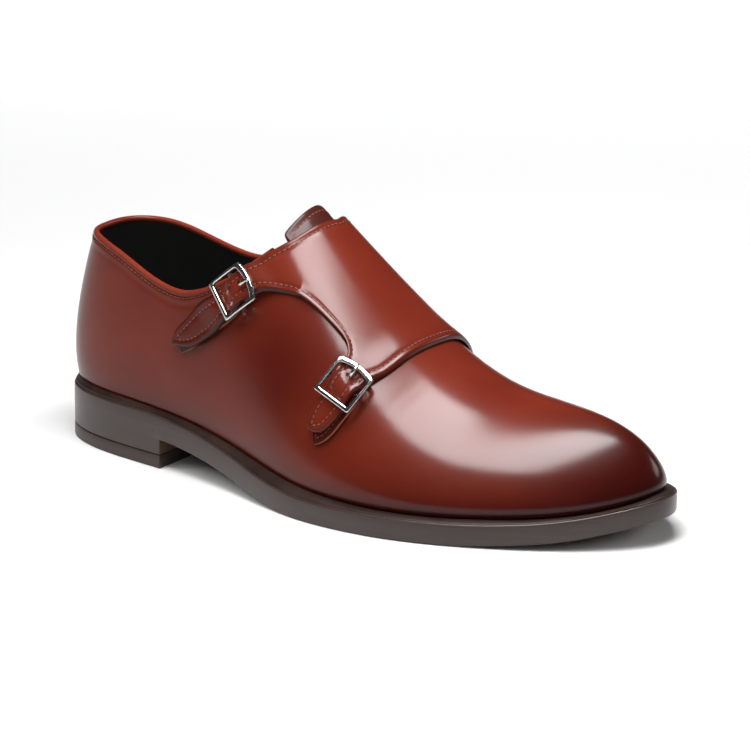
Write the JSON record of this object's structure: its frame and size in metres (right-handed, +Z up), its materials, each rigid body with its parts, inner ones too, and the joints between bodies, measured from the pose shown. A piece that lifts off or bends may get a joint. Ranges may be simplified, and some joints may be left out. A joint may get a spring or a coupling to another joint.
{
  "type": "monk strap shoe",
  "caption": "Men's leather dress shoe for the right foot with a plain toe, closed over the instep by a strap panel with two buckled arms, on a leather sole with a low stacked heel.",
  "frame": {"origin": "on the ground under the middle of the shoe's length and width", "axes": "+X towards the toe, -Y towards the outer side with the buckles, +Z up"},
  "size_m": [0.302, 0.1118, 0.1205],
  "materials": {
    "upper_leather": "polished reddish brown calf, darker towards the toe and the edges",
    "binding_leather": "thin folded reddish brown leather",
    "insole_leather": "smooth black lining leather",
    "welt_leather": "dark brown, waxed",
    "sole_leather": "dark brown, satin edge dressing",
    "heel_leather": "dark brown, satin edge dressing",
    "lift_rubber": "dark brown, matte",
    "buckle_nickel": "polished nickel"
  },
  "bodies": {
    "root": {"upper": "upper_leather", "tongue": "upper_leather", "strap_panel": "upper_leather", "upper_buckle_tab": "upper_leather", "lower_buckle_tab": "upper_leather", "collar_binding": "binding_leather", "upper_buckle": "buckle_nickel", "upper_prong": "buckle_nickel", "lower_buckle": "buckle_nickel", "lower_prong": "buckle_nickel", "insole": "insole_leather", "welt": "welt_leather", "outsole": "sole_leather", "heel_stack": "heel_leather", "top_lift": "lift_rubber"}
  },
  "joints": []
}
